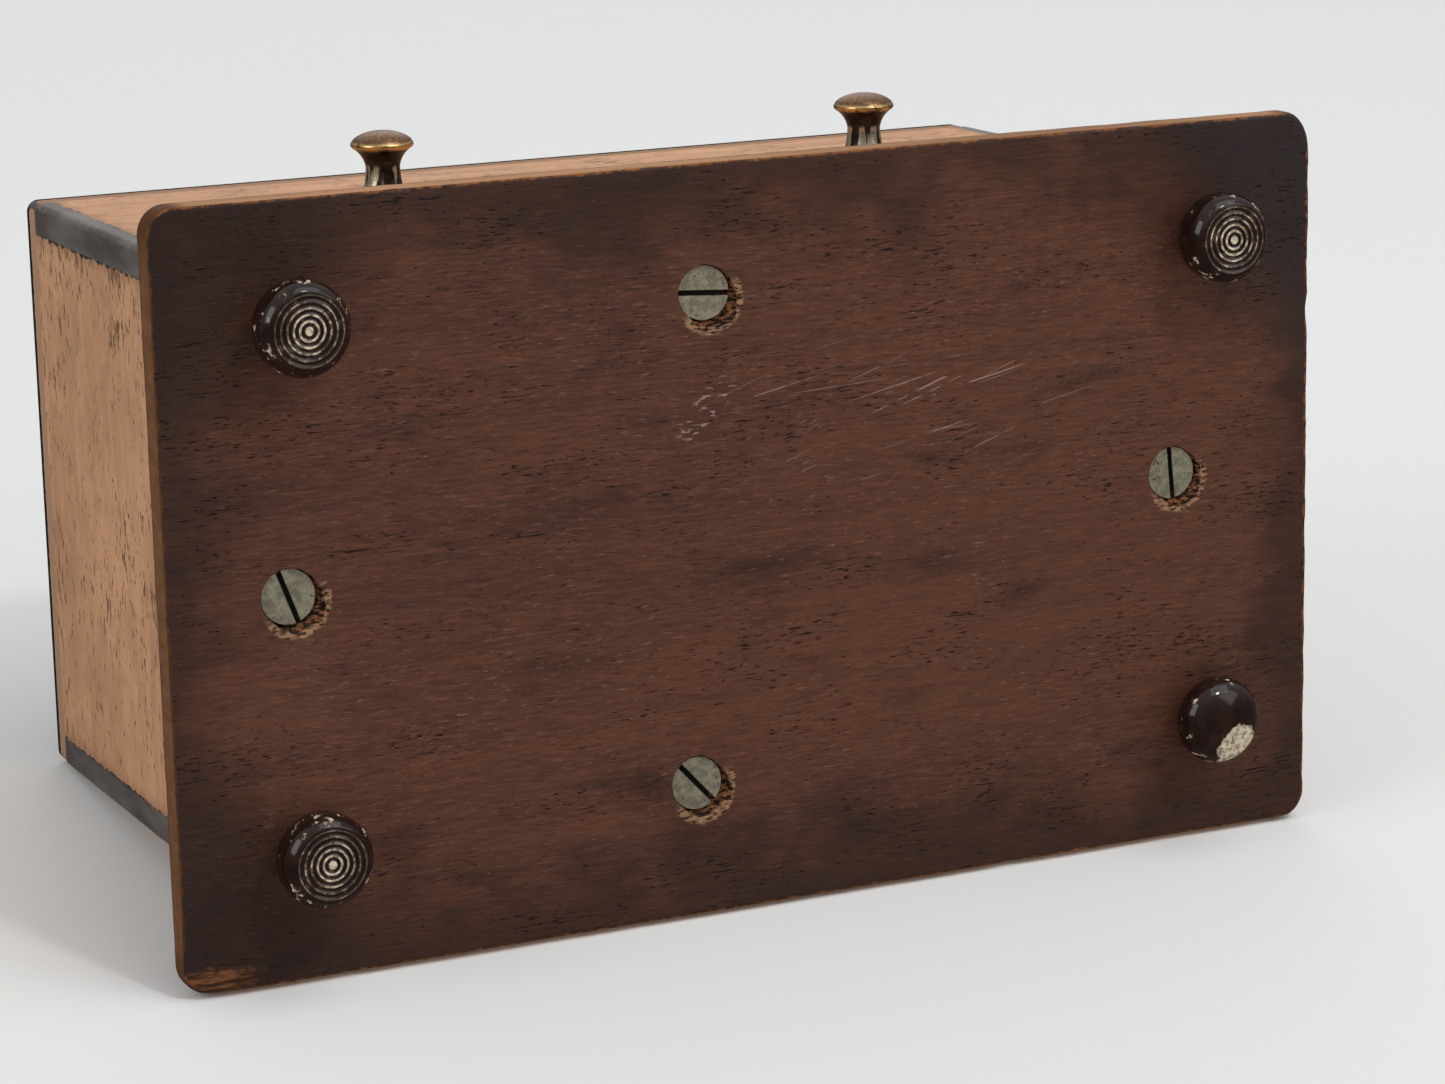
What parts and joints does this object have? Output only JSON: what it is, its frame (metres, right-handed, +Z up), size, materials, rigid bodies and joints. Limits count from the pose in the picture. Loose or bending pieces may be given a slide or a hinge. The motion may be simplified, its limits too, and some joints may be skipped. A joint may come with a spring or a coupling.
{
  "type": "crystal radio set",
  "caption": "Small wooden box crystal radio on an overhanging base plate with turned feet, brass screw terminals, a coil tuner and a cat's-whisker detector.",
  "frame": {"origin": "on the surface that the feet stand on, under the middle of the base plate", "axes": "+Z up, +X to the right along the length, -Y towards the front with the two phone terminals"},
  "size_m": [0.18, 0.1103, 0.1236],
  "materials": {
    "base_wood": "dark reddish stain, worn satin polish",
    "case_wood": "plain tan veneer, dull",
    "black_bead": "ebonised, satin",
    "inner_wood": "bare softwood",
    "foot_lacquer": "dark lacquer over a cream ground, glossy and worn",
    "screw_steel": "dull scratched steel",
    "plain_brass": "bright turned brass",
    "aged_brass": "brown tarnish with bright worn rims",
    "tinned_copper": "tinned",
    "ivorine": "aged ivory plastic with engraved black scale",
    "card": "shellacked card tube",
    "enamelled_copper": "enamelled copper wire",
    "ebonite": "polished ebonite, slightly browned",
    "galena": "bright grey cleavage faces",
    "whisker_bronze": "springy bronze wire",
    "mica_block": "waxed mica and paper",
    "wire_sleeve": "green cotton sleeving"
  },
  "bodies": {
    "case": {"base_plate": "base_wood", "foot_front_left": "foot_lacquer", "foot_back_left": "foot_lacquer", "foot_front_right": "foot_lacquer", "foot_back_right": "foot_lacquer", "base_screws": "screw_steel", "front_panel": "case_wood", "back_panel": "case_wood", "left_panel": "case_wood", "right_panel": "case_wood", "corner_beads": "black_bead", "base_battens": "inner_wood", "corner_blocks": "inner_wood", "panel_screws": "plain_brass", "terminal_studs": "aged_brass", "terminal_nuts": "plain_brass", "solder_tags": "tinned_copper", "tuner_bush": "aged_brass", "tuner_nut": "plain_brass", "scale_plate": "ivorine", "scale_pins": "plain_brass", "stator_former": "card", "stator_windings": "enamelled_copper", "stator_pillars": "ebonite", "stator_screws": "plain_brass", "stator_nuts": "plain_brass", "cup_post": "aged_brass", "crystal_cup": "aged_brass", "cup_screws": "aged_brass", "crystal": "galena", "arm_post": "aged_brass", "post_nuts": "plain_brass", "condenser": "mica_block", "condenser_screws": "plain_brass", "aerial_wire": "wire_sleeve", "earth_wire": "wire_sleeve", "arm_wire": "wire_sleeve", "cup_wire": "wire_sleeve", "top_panel": "ebonite"},
    "tuner": {"tuning_knob": "ebonite", "pointer": "aged_brass", "tuner_shaft": "plain_brass", "shaft_collar": "plain_brass", "knob_grub_screw": "plain_brass", "rotor_former": "card", "rotor_windings": "enamelled_copper"},
    "swivel": {"swivel_fork": "aged_brass"},
    "barrel": {"arm_barrel": "aged_brass"},
    "whisker_arm": {"whisker_rod": "aged_brass", "whisker_grip": "ebonite", "cat_whisker": "whisker_bronze"},
    "phone_left_clamp": {"phone_left_washer": "aged_brass"},
    "phone_left_nut": {"phone_left_knob": "aged_brass"},
    "phone_right_clamp": {"phone_right_washer": "aged_brass"},
    "phone_right_nut": {"phone_right_knob": "aged_brass"},
    "aerial_clamp": {"aerial_washer": "aged_brass"},
    "aerial_nut": {"aerial_knob": "aged_brass"},
    "earth_clamp": {"earth_washer": "aged_brass"},
    "earth_nut": {"earth_knob": "aged_brass"}
  },
  "joints": [
    {"name": "tuning", "type": "hinge", "parent": "case", "child": "tuner", "pos_m": [-0.027, 0, 0.0994], "axis": [0, 0, 1], "range_deg": [-90, 90]},
    {"name": "arm_swivel", "type": "hinge", "parent": "case", "child": "swivel", "pos_m": [0.023, 0, 0.1054], "axis": [0, 0, 1], "range_deg": [-20, 20]},
    {"name": "arm_tilt", "type": "hinge", "parent": "swivel", "child": "barrel", "pos_m": [0.023, 0, 0.1164], "axis": [0, 1, 0], "range_deg": [-10, 10]},
    {"name": "arm_slide", "type": "slide", "parent": "barrel", "child": "whisker_arm", "axis": [-1, 0, 0], "range_m": [0, 0.008]},
    {"name": "phone_left_travel", "type": "slide", "parent": "case", "child": "phone_left_clamp", "axis": [0, -1, 0], "range_m": [0, 0.0014]},
    {"name": "phone_left_turn", "type": "hinge", "parent": "phone_left_clamp", "child": "phone_left_nut", "pos_m": [-0.0393, -0.0438, 0.055], "axis": [0, -1, 0], "range_deg": [0, 721]},
    {"name": "phone_right_travel", "type": "slide", "parent": "case", "child": "phone_right_clamp", "axis": [0, -1, 0], "range_m": [0, 0.0014]},
    {"name": "phone_right_turn", "type": "hinge", "parent": "phone_right_clamp", "child": "phone_right_nut", "pos_m": [0.0393, -0.0438, 0.055], "axis": [0, -1, 0], "range_deg": [0, 721]},
    {"name": "aerial_travel", "type": "slide", "parent": "case", "child": "aerial_clamp", "axis": [0, 0, 1], "range_m": [0, 0.0014]},
    {"name": "aerial_turn", "type": "hinge", "parent": "aerial_clamp", "child": "aerial_nut", "pos_m": [-0.066, 0.019, 0.0994], "axis": [0, 0, 1], "range_deg": [0, 721]},
    {"name": "earth_travel", "type": "slide", "parent": "case", "child": "earth_clamp", "axis": [0, 0, 1], "range_m": [0, 0.0014]},
    {"name": "earth_turn", "type": "hinge", "parent": "earth_clamp", "child": "earth_nut", "pos_m": [-0.066, -0.019, 0.0994], "axis": [0, 0, 1], "range_deg": [0, 721]}
  ],
  "couplings": [
    {"joint": "phone_left_turn", "follows": "phone_left_travel", "rad_per_m": 8976},
    {"joint": "phone_right_turn", "follows": "phone_right_travel", "rad_per_m": 8976},
    {"joint": "aerial_turn", "follows": "aerial_travel", "rad_per_m": 8976},
    {"joint": "earth_turn", "follows": "earth_travel", "rad_per_m": 8976}
  ]
}
